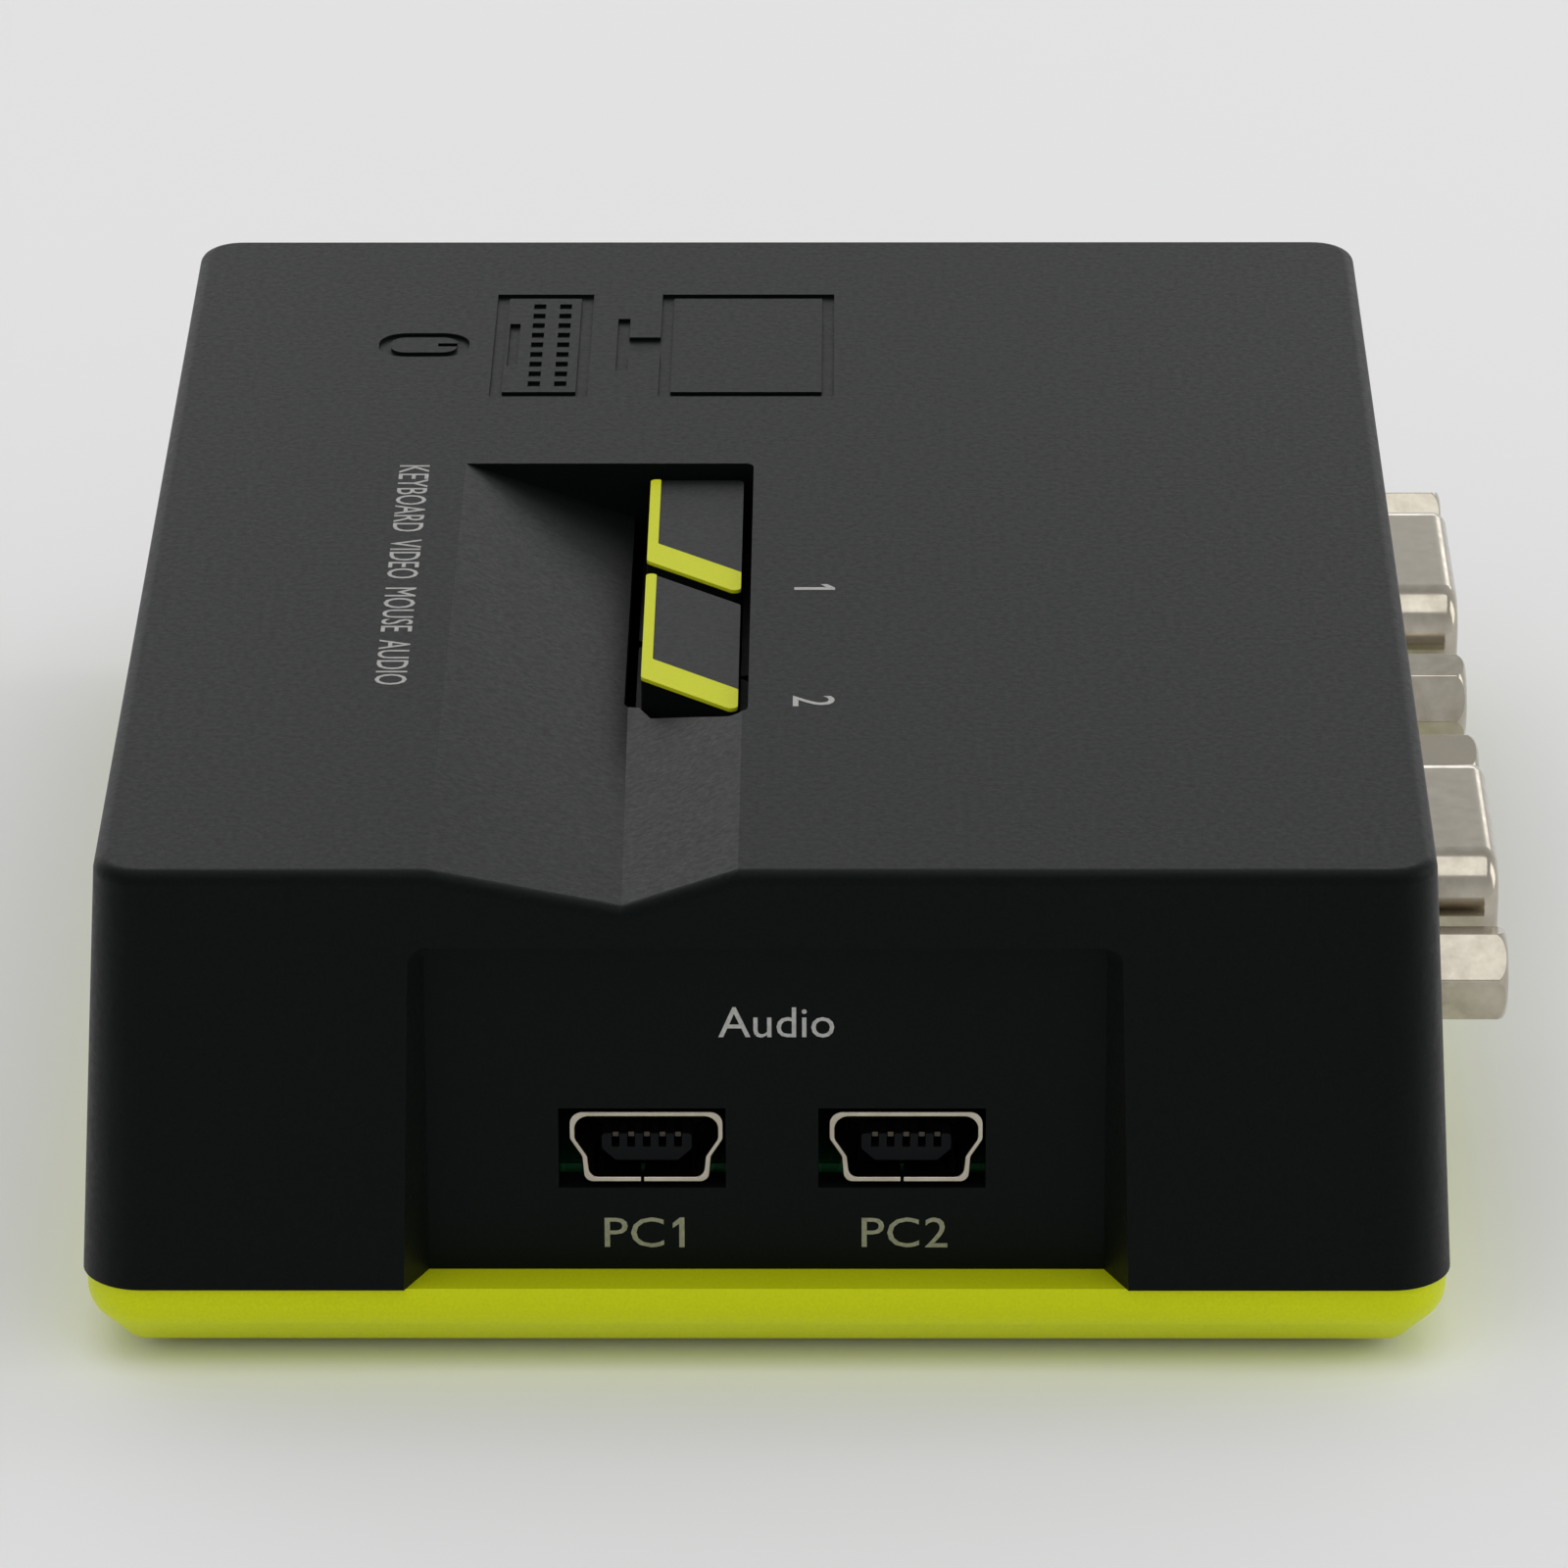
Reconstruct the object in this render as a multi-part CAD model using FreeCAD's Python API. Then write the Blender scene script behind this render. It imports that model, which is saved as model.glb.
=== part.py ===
import FreeCAD, Part
import math
import os

from FreeCAD import Rotation, Vector

# Two-port desktop KVM switch. Millimetres, +Z up, +X to the side with the two computer video
# sockets, -Y to the end with the two computer audio sockets, +Y to the end with the console's
# video socket, -X to the user, with the keyboard, mouse, speaker and microphone sockets.
# Everything is drawn about the middle of the case and then moved by TO_ORIGIN.

# Case
TOP_Z = 27.6                # flat top of the upper shell
SPLIT_Z = 4.75              # joint between upper shell and base
BASE_Z = 0.6                # underside of the base, held off the table by the feet
TOP_HALF_X = 34.0
TOP_HALF_Y = 46.0
DRAFT = 1.2                 # the walls lean out by this much from top to joint
FOOT_HALF_X = TOP_HALF_X + DRAFT
FOOT_HALF_Y = TOP_HALF_Y + DRAFT
TOP_CORNER_R = 2.4
FOOT_CORNER_R = 3.2
TOP_EDGE_R = 0.7
CAVITY_HALF_X = 32.4
CAVITY_HALF_Y = 44.2
CEILING_Z = 25.6

# Base
BASE_INSET = 0.2            # the base stands back from the shell by this
BASE_CHAMFER = 2.4
BASE_UPPER_R = 2.0          # rounding between side and chamfer
BASE_LOWER_R = 1.2          # rounding between chamfer and underside
BASE_FLOOR_Z = 2.4
RIM_TOP_Z = 6.8
RIM_WALL = 1.2
RIM_GAP = 0.2

# V-shaped groove that leads to the keys
GROOVE_LEFT_X = -17.1
GROOVE_RIGHT_X = -1.35
VALLEY_FRONT_X = -7.25
VALLEY_BACK_X = -7.75
VALLEY_FRONT_DEPTH = 1.95
VALLEY_BACK_DEPTH = 3.25
GROOVE_BACK_Y = 10.0
GROOVE_OVERRUN = 3.0        # how far the cut runs out past the front wall
KEY_BLOCK_BOTTOM_Z = 22.4

# Key well and keys
WELL_LEFT_X = -7.7
WELL_RIGHT_X = -1.05
WELL_NEAR_Y = -26.1         # at the right-hand wall
WELL_GAP = 2.1              # from the nearer key to the near wall, along Y
SLANT = 0.9                 # rise of the slanted edges per millimetre to the left
KEY_LEFT_X = -6.78
KEY_RIGHT_X = -1.6
KEY_TOP_Z = 26.9
KEY_FLANGE_TOP_Z = 22.3
KEY_FLANGE_BOTTOM_Z = 21.1
KEY_FLANGE_LIP = 0.45
KEY_STEM_R = 1.6
KEY_1_NEAR_Y = -7.4
KEY_GAP = 1.5               # between the keys, along Y
KEYS = {
    1: {"far": 9.2, "near": KEY_1_NEAR_Y, "square_far": True},
    2: {"far": KEY_1_NEAR_Y - KEY_GAP, "near": -23.7, "square_far": False},
}

# Light guide inlaid in each key
GUIDE_PROUD = 0.06
GUIDE_INLAY = 0.14
GUIDE_SIDE = 0.58
GUIDE_NEAR = 3.0            # width of the slanted bar, along Y
GUIDE_POST_R = 0.8

# Recessed panels at the two ends
PANEL_Y = 44.7
PANEL_HALF_X = 17.35
PANEL_MOUTH_HALF_X = 18.55
PANEL_TOP_Z = 23.2
PANEL_BACKING_Y = 42.9
PANEL_BACKING_FOOT_Z = 7.1

# Circuit board
BOARD_TOP_Z = 9.65
BOARD_THICKNESS = 1.6
BOARD_HALF_X = 31.9
BOARD_HALF_Y = 42.4
TAIL_REACH = 0.8            # how far the sockets' tails stand out below the board

# Screws and feet
SCREW_X = 28.0
SCREW_Y = 39.2
SCREW_SHANK_R = 1.25
SCREW_SHANK_LENGTH = 12.5
SCREW_HEAD_R = 2.4
SCREW_HEAD_HEIGHT = 1.5
SCREW_HEAD_Z = BASE_Z + 0.3
POST_R = 2.9
FOOT_X = 25.0
FOOT_Y = 28.5
FOOT_R = 4.0
FOOT_RECESS = 0.6

# High-density 15-way video sockets (size E shell)
VIDEO_AXIS_Z = 16.0
VIDEO_SCREW_PITCH = 24.99
VIDEO_FLANGE_HALF = (15.4, 6.25)
VIDEO_FLANGE_T = 0.8
VIDEO_REACH = 6.0
VIDEO_WIDTH = 16.33
VIDEO_HEIGHT = 7.9
VIDEO_CORNER_R = 2.5
VIDEO_WALL = 0.45
VIDEO_LIP_R = 0.8           # rounding of the shell's outer end
VIDEO_LIP = 0.5             # how far that end closes in over the insulator
VIDEO_BODY_DEPTH = 9.5
VIDEO_PIN_PITCH = 2.29
VIDEO_ROW_PITCH = 1.98
STANDOFF_REACH = 6.1
STANDOFF_AF = 4.5
STANDOFF_HOLE_R = 1.35
STANDOFF_HOLE_DEPTH = 5.0
VIDEO_SOCKETS = {
    "computer_1_video": {"place": (CAVITY_HALF_X, 16.0), "faces": 0, "standoff_turns": (5, 38)},
    "computer_2_video": {"place": (CAVITY_HALF_X, -20.2), "faces": 0, "standoff_turns": (45, 20)},
    "console_video": {"place": (0.0, PANEL_BACKING_Y), "faces": 90, "standoff_turns": (12, 50)},
}

# Five-way mini sockets for computer audio
MINI_Z = 11.65
MINI_WALL = 0.3
MINI_LENGTH = 9.2
MINI_EDGE_R = 0.11
MINI_CUT = (-0.22, 4.28)        # the panel's opening: shift to the left and half width
MINI_FACE_Y = -PANEL_Y + 0.1
MINI_TONGUE = (-1.15, 0.35)     # foot and top of the contact tongue, from MINI_Z
MINI_PIN_PITCH = 0.8
MINI_SOCKETS = {"computer_1_audio": -6.12, "computer_2_audio": 7.18}

# Type A sockets for keyboard and mouse
TYPE_A_HALF = (6.57, 2.9)
TYPE_A_WALL = 0.32
TYPE_A_LENGTH = 14.0
TYPE_A_FRONT = 2.33             # its mouth, outward from the inside of the case wall
TYPE_A_Z = BOARD_TOP_Z + 3.3
TYPE_A_SOCKETS = {"keyboard_port": 26.0, "mouse_port": 9.0}

# 3.5 mm jacks for speaker and microphone
JACK_Z = BOARD_TOP_Z + 3.2
JACK_BORE_R = 1.8
JACK_BORE_DEPTH = 14.0
JACK_NOSE_R = 3.0
JACK_FRONT = 2.3                # its mouth, outward from the inside of the case wall
JACK_BODY_HALF = 3.5
JACK_BODY_HEIGHT = 6.4
JACK_SOCKETS = {"speaker_jack": -9.0, "microphone_jack": -22.0}

# Keys' tactile switches and LEDs
SWITCH_HALF = 3.0
SWITCH_HEIGHT = 3.5
SWITCH_COVER_T = 0.3
PLUNGER_R = 1.75
PLUNGER_TOP_Z = 19.15
SWITCH_X = -4.15
LED_SEAT_Z = 15.2
LED_TOP_Z = 20.0
LED_R = 1.45
LED_RIM_R = 1.85

# The origin is on the table, under the middle of the overall box. The video sockets stand out
# of two sides only, so that is not the middle of the case.
TO_ORIGIN = Vector(-(CAVITY_HALF_X + STANDOFF_REACH - FOOT_HALF_X) / 2,
                   -(PANEL_BACKING_Y + STANDOFF_REACH - FOOT_HALF_Y) / 2, 0)

X_AXIS = Vector(1, 0, 0)
Y_AXIS = Vector(0, 1, 0)
Z_AXIS = Vector(0, 0, 1)
THROUGH = 12.0                  # length of a cut that goes right through what it cuts


# ---------------------------------------------------------------- plain shapes

def box(x, y, z):
    """Box from three (low, high) pairs."""
    return Part.makeBox(x[1] - x[0], y[1] - y[0], z[1] - z[0], Vector(x[0], y[0], z[0]))


def about(centre, half):
    """(low, high) pair about a centre."""
    return (centre - half, centre + half)


def rod(start, direction, radius, length):
    return Part.makeCylinder(radius, length, Vector(*start), direction)


def fuse(shapes):
    first, *rest = shapes
    return first.fuse(rest).removeSplitter() if rest else first


def on_xy(z):
    return lambda u, v: Vector(u, v, z)


def on_xz(y):
    return lambda u, v: Vector(u, y, v)


def on_yz(x):
    return lambda u, v: Vector(x, u, v)


def outline(points, radii, to_3d):
    """Closed wire through 2D points, each corner rounded by its own radius."""
    count = len(points)
    corners = []
    for i, here in enumerate(points):
        here = Vector(here[0], here[1], 0)
        back = (Vector(*points[i - 1], 0) - here).normalize()
        ahead = (Vector(*points[(i + 1) % count], 0) - here).normalize()
        half_angle = back.getAngle(ahead) / 2
        bisector = (back + ahead).normalize()
        tangent = radii[i] / math.tan(half_angle)
        middle = here + bisector * (radii[i] / math.sin(half_angle) - radii[i])
        corners.append((here + back * tangent, middle, here + ahead * tangent, radii[i]))
    edges = []
    for i, (start, middle, end, radius) in enumerate(corners):
        last_end = corners[i - 1][2]
        if last_end.distanceToPoint(start) > 1e-6:
            edges.append(Part.makeLine(to_3d(last_end.x, last_end.y), to_3d(start.x, start.y)))
        if radius > 0:
            arc = Part.Arc(*[to_3d(p.x, p.y) for p in (start, middle, end)])
            edges.append(arc.toShape())
    return Part.Wire(edges)


def rectangle(half_u, half_v, radius, to_3d, centre=(0, 0)):
    points = [(centre[0] + su * half_u, centre[1] + sv * half_v)
              for su, sv in ((-1, -1), (1, -1), (1, 1), (-1, 1))]
    return outline(points, [radius] * 4, to_3d)


def extrude(wire, vector):
    return Part.Face(wire).extrude(vector)


def corners_of(half_x, half_y):
    return [(sx * half_x, sy * half_y) for sx in (-1, 1) for sy in (-1, 1)]


def edges_where(shape, test):
    """Edges whose every end point passes the test."""
    return [edge for edge in shape.Edges
            if all(test(vertex.Point) for vertex in edge.Vertexes)]


def edge_ring(shape, axis, level):
    """The closed edge of a turned shape that lies at that level along the axis."""
    return next(edge for edge in shape.Edges
                if edge.isClosed() and abs(edge.Vertexes[0].Point.dot(axis) - level) < 1e-4)


def set_in_wall(shape, place, faces):
    """Takes what faces +X from the inside of a wall at X = 0 to its place, facing that way."""
    placed = shape.copy()
    placed.rotate(Vector(0, 0, 0), Z_AXIS, faces)
    placed.translate(Vector(place[0], place[1], 0))
    return placed


def in_user_wall(shape, y):
    return set_in_wall(shape, (-CAVITY_HALF_X, y), 180)


# ---------------------------------------------------------------- outlines used more than once

def slanted(x, y_at_right):
    """Y of a slanted edge at x, from its height at the keys' right-hand side."""
    return y_at_right + SLANT * (KEY_RIGHT_X - x)


def key_points(key, grow=0.0):
    """Plan outline of one key, grown outward by the given amount."""
    left = KEY_LEFT_X - grow
    right = KEY_RIGHT_X + grow
    slope_grow = grow * math.hypot(1, SLANT)
    near = key["near"] - slope_grow
    points = [(left, slanted(left, near)), (right, slanted(right, near))]
    if key["square_far"]:
        points += [(right, key["far"] + grow), (left, key["far"] + grow)]
    else:
        far = key["far"] + slope_grow
        points += [(right, slanted(right, far)), (left, slanted(left, far))]
    return points


def d_outline(inset, corner_r, x):
    """Trapezium of a video socket's D-shaped shell, wide side up, moved in by inset."""
    height = VIDEO_HEIGHT - 2 * inset
    half_top = VIDEO_WIDTH / 2 - inset
    half_foot = half_top - math.tan(math.radians(10)) * height
    low, high = about(VIDEO_AXIS_Z, height / 2)
    points = [(-half_foot, low), (half_foot, low), (half_top, high), (-half_top, high)]
    return outline(points, [corner_r] * 4, on_yz(x))


def mini_outline(x, y, grow=0.0):
    """Outline of the mini socket: wide shoulders above a narrower foot, across Y."""
    half_height = 2.0 + grow
    shoulder = 3.95 + grow
    waist = 3.32 + grow
    foot = 3.2 + grow
    points = [(-foot, -half_height), (foot, -half_height), (waist, -0.55), (shoulder, 0.45),
              (shoulder, half_height), (-shoulder, half_height), (-shoulder, 0.45),
              (-waist, -0.55)]
    radii = [0.5, 0.5, 0.4, 0.45, 0.7, 0.7, 0.45, 0.4]
    return outline([(x + u, MINI_Z + v) for u, v in points], radii, on_xz(y))


# ---------------------------------------------------------------- case

def groove():
    """V-shaped cut with a flat far wall; it deepens towards the keys."""
    over = 1 + GROOVE_OVERRUN / (GROOVE_BACK_Y + TOP_HALF_Y)
    front_x = VALLEY_BACK_X + (VALLEY_FRONT_X - VALLEY_BACK_X) * over
    front_depth = VALLEY_BACK_DEPTH + (VALLEY_FRONT_DEPTH - VALLEY_BACK_DEPTH) * over
    sections = []
    for y, valley_x, depth in ((-TOP_HALF_Y - GROOVE_OVERRUN, front_x, front_depth),
                               (GROOVE_BACK_Y, VALLEY_BACK_X, VALLEY_BACK_DEPTH)):
        points = [(GROOVE_LEFT_X, TOP_Z + 2), (GROOVE_LEFT_X, TOP_Z), (valley_x, TOP_Z - depth),
                  (GROOVE_RIGHT_X, TOP_Z), (GROOVE_RIGHT_X, TOP_Z + 2)]
        sections.append(outline(points, [0] * 5, on_xz(y)))
    return Part.makeLoft(sections, True, True)


def key_well():
    """Slanted near wall, with a corner cut off where it meets the keys' left-hand side."""
    strip_x = KEY_LEFT_X - 0.1
    cut_x = KEY_LEFT_X + 0.55
    strip_near = slanted(strip_x, KEYS[2]["near"]) - 0.35
    cut_near = WELL_NEAR_Y + SLANT * (WELL_RIGHT_X - cut_x)
    points = [(WELL_LEFT_X, strip_near + 1.0), (strip_x, strip_near), (cut_x, cut_near),
              (WELL_RIGHT_X, WELL_NEAR_Y), (WELL_RIGHT_X, GROOVE_BACK_Y),
              (WELL_LEFT_X, GROOVE_BACK_Y)]
    wire = outline(points, [0.3, 0.3, 0.3, 0.7, 0.5, 0.3], on_xy(KEY_BLOCK_BOTTOM_Z - 1))
    return extrude(wire, Z_AXIS * THROUGH)


def panel_recess(side):
    """Recess with slanted sides, open at the foot, in the end wall on side -1 or +1."""
    overrun = 0.4
    mouth_y = FOOT_HALF_Y + overrun
    flare = (PANEL_MOUTH_HALF_X - PANEL_HALF_X) / (FOOT_HALF_Y - PANEL_Y)
    mouth_half_x = PANEL_MOUTH_HALF_X + flare * overrun
    sections = []
    for y, half_x, top in ((PANEL_Y, PANEL_HALF_X, PANEL_TOP_Z),
                           (mouth_y, mouth_half_x, PANEL_TOP_Z + 0.7)):
        points = [(-half_x, SPLIT_Z - 2), (half_x, SPLIT_Z - 2), (half_x, top), (-half_x, top)]
        sections.append(outline(points, [0, 0, 0.9, 0.9], on_xz(side * y)))
    return Part.makeLoft(sections, True, True)


def pictograms():
    """Sunk outlines of a screen, a keyboard and a mouse, upright when seen from -X."""
    line = 0.7
    sink = (TOP_Z - 0.2, TOP_Z + 1)
    centre_y = 28.5
    half_y = 8.2
    screen_x = (-6.6, 3.4)
    keyboard_x = (-16.2, -10.6)
    mouse_x = -20.2
    key_half = (0.35, 0.4)

    def frame(x):
        inner = box((x[0] + line, x[1] - line), about(centre_y, half_y - line), sink)
        return box(x, about(centre_y, half_y), sink).cut(inner)

    neck = box((screen_x[0] - 1.8, screen_x[0]), about(centre_y, 1.2), sink)
    stand = box((screen_x[0] - 2.5, screen_x[0] - 1.8), about(centre_y, 4.2), sink)
    space_bar = box(about(keyboard_x[0] + 1.15, 0.3), about(centre_y, 3.4), sink)
    marks = [frame(screen_x), neck, stand, frame(keyboard_x), space_bar]
    for row in range(2):
        for column in range(-4, 5):
            marks.append(box(about(keyboard_x[1] - 1.6 - 1.5 * row, key_half[0]),
                             about(centre_y + 1.55 * column, key_half[1]), sink))
    height = Z_AXIS * (sink[1] - sink[0])
    body = rectangle(2.6, 1.9, 1.6, on_xy(sink[0]), (mouse_x, centre_y))
    hollow = rectangle(2.6 - line, 1.9 - line, 1.6 - line, on_xy(sink[0]), (mouse_x, centre_y))
    wheel = box(about(mouse_x + 1.4, 0.6), about(centre_y, 0.25), sink)
    return marks + [extrude(body, height).cut(extrude(hollow, height)), wheel]


def wall_cuts():
    """Openings in the walls for every socket."""
    cuts = []
    for socket in VIDEO_SOCKETS.values():
        mouth = [extrude(d_outline(-0.4, VIDEO_CORNER_R + 0.3, -1), X_AXIS * THROUGH)]
        for y in about(0, VIDEO_SCREW_PITCH / 2):
            mouth.append(rod((-1, y, VIDEO_AXIS_Z), X_AXIS, 3.0, THROUGH))
        cuts += [set_in_wall(cut, socket["place"], socket["faces"]) for cut in mouth]
    for x in MINI_SOCKETS.values():
        cuts.append(box(about(x + MINI_CUT[0], MINI_CUT[1]),
                        (-PANEL_Y - 2, -PANEL_BACKING_Y + 1), about(MINI_Z, 2.25)))
    for y in TYPE_A_SOCKETS.values():
        wire = rectangle(TYPE_A_HALF[0] + 0.3, TYPE_A_HALF[1] + 0.3, 0.4, on_yz(-1), (0, TYPE_A_Z))
        cuts.append(in_user_wall(extrude(wire, X_AXIS * THROUGH), y))
    for y in JACK_SOCKETS.values():
        cuts.append(in_user_wall(rod((-1, 0, JACK_Z), X_AXIS, JACK_NOSE_R + 0.15, THROUGH), y))
    return cuts


def is_upper_rim(point):
    """On the outline of the flat top, or where the groove runs out through the front wall."""
    on_top = abs(point.z - TOP_Z) < 1e-4
    on_outline = (abs(point.x) > TOP_HALF_X - TOP_CORNER_R - 0.1
                  or abs(point.y) > TOP_HALF_Y - 0.1)
    at_front = point.y < -TOP_HALF_Y + 1e-3 and point.z > TOP_Z - 4
    return (on_top and on_outline) or at_front


def top_shell():
    top = rectangle(TOP_HALF_X, TOP_HALF_Y, TOP_CORNER_R, on_xy(TOP_Z))
    foot = rectangle(FOOT_HALF_X, FOOT_HALF_Y, FOOT_CORNER_R, on_xy(SPLIT_Z))
    shell = Part.makeLoft([foot, top], True, True)
    shell = shell.cut(groove())
    shell = shell.makeFillet(TOP_EDGE_R, edges_where(shell, is_upper_rim))

    cavity = box(about(0, CAVITY_HALF_X), about(0, CAVITY_HALF_Y), (SPLIT_Z - 1, CEILING_Z))
    key_block = box((GROOVE_LEFT_X - 1.5, WELL_RIGHT_X + 1.6),
                    (-CAVITY_HALF_Y, GROOVE_BACK_Y + 1.6), (KEY_BLOCK_BOTTOM_Z, CEILING_Z))
    backings = [box(about(0, PANEL_MOUTH_HALF_X + 1),
                    sorted((side * PANEL_BACKING_Y, side * CAVITY_HALF_Y)),
                    (PANEL_BACKING_FOOT_Z, CEILING_Z)) for side in (-1, 1)]
    shell = shell.cut(cavity.cut([key_block] + backings))
    shell = shell.cut([panel_recess(-1), panel_recess(1), key_well()])
    shell = shell.cut(wall_cuts())
    shell = shell.cut(pictograms())

    posts = []
    holes = []
    for x, y in corners_of(SCREW_X, SCREW_Y):
        posts.append(rod((x, y, BOARD_TOP_Z), Z_AXIS, POST_R, CEILING_Z - BOARD_TOP_Z + 0.5))
        holes.append(rod((x, y, BOARD_TOP_Z - 1), Z_AXIS, SCREW_SHANK_R + 0.1, 10))
    return shell.fuse(posts).removeSplitter().cut(holes)


def base_shell():
    """Tray with a chamfered, rounded underside and a rim that stands up inside the shell."""
    half_x = FOOT_HALF_X - BASE_INSET
    half_y = FOOT_HALF_Y - BASE_INSET
    corner_r = FOOT_CORNER_R - BASE_INSET
    bend_z = BASE_Z + BASE_CHAMFER
    side = extrude(rectangle(half_x, half_y, corner_r, on_xy(bend_z)), Z_AXIS * (SPLIT_Z - bend_z))
    underside = rectangle(half_x - BASE_CHAMFER, half_y - BASE_CHAMFER, corner_r - BASE_CHAMFER,
                          on_xy(BASE_Z))
    bend = rectangle(half_x, half_y, corner_r, on_xy(bend_z))
    tray = side.fuse(Part.makeLoft([underside, bend], True, True))
    for z, radius in ((bend_z, BASE_UPPER_R), (BASE_Z, BASE_LOWER_R)):
        tray = tray.makeFillet(radius, edges_where(tray, lambda p: abs(p.z - z) < 1e-4))

    rim_x = CAVITY_HALF_X - RIM_GAP
    rim_y = CAVITY_HALF_Y - RIM_GAP
    rim = box(about(0, rim_x), about(0, rim_y), (SPLIT_Z - 0.5, RIM_TOP_Z))
    hollow = box(about(0, rim_x - RIM_WALL), about(0, rim_y - RIM_WALL),
                 (BASE_FLOOR_Z, RIM_TOP_Z + 1))
    tray = tray.fuse(rim).removeSplitter().cut(hollow)

    board_bottom = BOARD_TOP_Z - BOARD_THICKNESS
    posts = []
    holes = []
    for x, y in corners_of(SCREW_X, SCREW_Y):
        posts.append(rod((x, y, BASE_FLOOR_Z - 0.5), Z_AXIS, POST_R,
                         board_bottom - BASE_FLOOR_Z + 0.5))
        holes.append(rod((x, y, BASE_Z - 1), Z_AXIS, SCREW_SHANK_R + 0.35, THROUGH))
        holes.append(rod((x, y, BASE_Z - 1), Z_AXIS, SCREW_HEAD_R + 0.2,
                         1 + SCREW_HEAD_Z + SCREW_HEAD_HEIGHT - BASE_Z))
    for x, y in corners_of(FOOT_X, FOOT_Y):
        holes.append(rod((x, y, BASE_Z - 1), Z_AXIS, FOOT_R + 0.1, 1 + FOOT_RECESS))
    return tray.fuse(posts).removeSplitter().cut(holes)


def rubber_feet():
    feet = []
    for x, y in corners_of(FOOT_X, FOOT_Y):
        foot = rod((x, y, 0), Z_AXIS, FOOT_R, BASE_Z + FOOT_RECESS)
        feet.append(foot.makeChamfer(0.3, [edge_ring(foot, Z_AXIS, 0)]))
    return Part.makeCompound(feet)


def case_screws():
    """Round heads with a cross recess, driven from below."""
    blade = (1.3, 0.25)
    screws = []
    for x, y in corners_of(SCREW_X, SCREW_Y):
        head = rod((x, y, SCREW_HEAD_Z), Z_AXIS, SCREW_HEAD_R, SCREW_HEAD_HEIGHT)
        head = head.makeFillet(0.4, [edge_ring(head, Z_AXIS, SCREW_HEAD_Z)])
        shank = rod((x, y, SCREW_HEAD_Z + SCREW_HEAD_HEIGHT - 0.1), Z_AXIS, SCREW_SHANK_R,
                    SCREW_SHANK_LENGTH)
        depth = (SCREW_HEAD_Z - 1, SCREW_HEAD_Z + 0.8)
        slots = [box(about(x, half_x), about(y, half_y), depth)
                 for half_x, half_y in (blade, blade[::-1])]
        screws.append(head.fuse(shank).cut(slots))
    return Part.makeCompound(screws)


# ---------------------------------------------------------------- keys

def key_centre_y(key):
    """Y of the stem, half way along the dark part of the key."""
    near = slanted(SWITCH_X, key["near"]) + GUIDE_NEAR
    far = key["far"] if key["square_far"] else slanted(SWITCH_X, key["far"])
    return (near + far) / 2


def led_y(key):
    """Y of the LED, under the middle of the key's slanted bar."""
    return slanted(SWITCH_X, key["near"]) + GUIDE_NEAR / 2


def inlay_points(key):
    """L-shaped outline along a key's left side and its slanted near side."""
    left, right = KEY_LEFT_X, KEY_RIGHT_X
    near = key["near"]
    inner = left + GUIDE_SIDE
    far = key_points(key)[3][1]
    far_inner = far if key["square_far"] else far - SLANT * GUIDE_SIDE
    return [(left, slanted(left, near)), (right, slanted(right, near)),
            (right, slanted(right, near) + GUIDE_NEAR),
            (inner, slanted(inner, near) + GUIDE_NEAR), (inner, far_inner), (left, far)]


def light_guide(key):
    """Thin inlay in the key's top, with a post that brings up the light of the LED."""
    wire = outline(inlay_points(key), [0.45, 0.35, 0.15, 0.15, 0.15, 0.3],
                   on_xy(KEY_TOP_Z - GUIDE_INLAY))
    inlay = extrude(wire, Z_AXIS * (GUIDE_INLAY + GUIDE_PROUD))
    post = rod((SWITCH_X, led_y(key), KEY_FLANGE_BOTTOM_Z), Z_AXIS, GUIDE_POST_R,
               KEY_TOP_Z - KEY_FLANGE_BOTTOM_Z)
    return fuse([inlay, post])


def select_key(key):
    overlap = 0.2
    cap = extrude(outline(key_points(key), [0.45, 0.35, 0.35, 0.3],
                          on_xy(KEY_FLANGE_TOP_Z - overlap)),
                  Z_AXIS * (KEY_TOP_Z - KEY_FLANGE_TOP_Z + overlap))
    flange = extrude(outline(key_points(key, KEY_FLANGE_LIP), [0.4] * 4,
                             on_xy(KEY_FLANGE_BOTTOM_Z)),
                     Z_AXIS * (KEY_FLANGE_TOP_Z - KEY_FLANGE_BOTTOM_Z))
    stem_bottom = PLUNGER_TOP_Z + 0.05
    stem = rod((SWITCH_X, key_centre_y(key), stem_bottom), Z_AXIS, KEY_STEM_R,
               KEY_FLANGE_BOTTOM_Z - stem_bottom + overlap)
    return fuse([cap, flange, stem]).cut(light_guide(key))


def switch_housing(y):
    height = SWITCH_HEIGHT - SWITCH_COVER_T
    body = box(about(SWITCH_X, SWITCH_HALF), about(y, SWITCH_HALF),
               (BOARD_TOP_Z, BOARD_TOP_Z + height))
    return body.cut(rod((SWITCH_X, y, BOARD_TOP_Z + 0.7), Z_AXIS, PLUNGER_R + 0.15, height))


def switch_cover(y):
    top = BOARD_TOP_Z + SWITCH_HEIGHT
    half = SWITCH_HALF - 0.05
    plate = box(about(SWITCH_X, half), about(y, half), (top - SWITCH_COVER_T, top))
    return plate.cut(rod((SWITCH_X, y, top - 1), Z_AXIS, PLUNGER_R + 0.2, 2))


def switch_plunger(y):
    low = BOARD_TOP_Z + 1.1
    plunger = rod((SWITCH_X, y, low), Z_AXIS, PLUNGER_R, PLUNGER_TOP_Z - low)
    return plunger.makeFillet(0.3, [edge_ring(plunger, Z_AXIS, PLUNGER_TOP_Z)])


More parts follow.
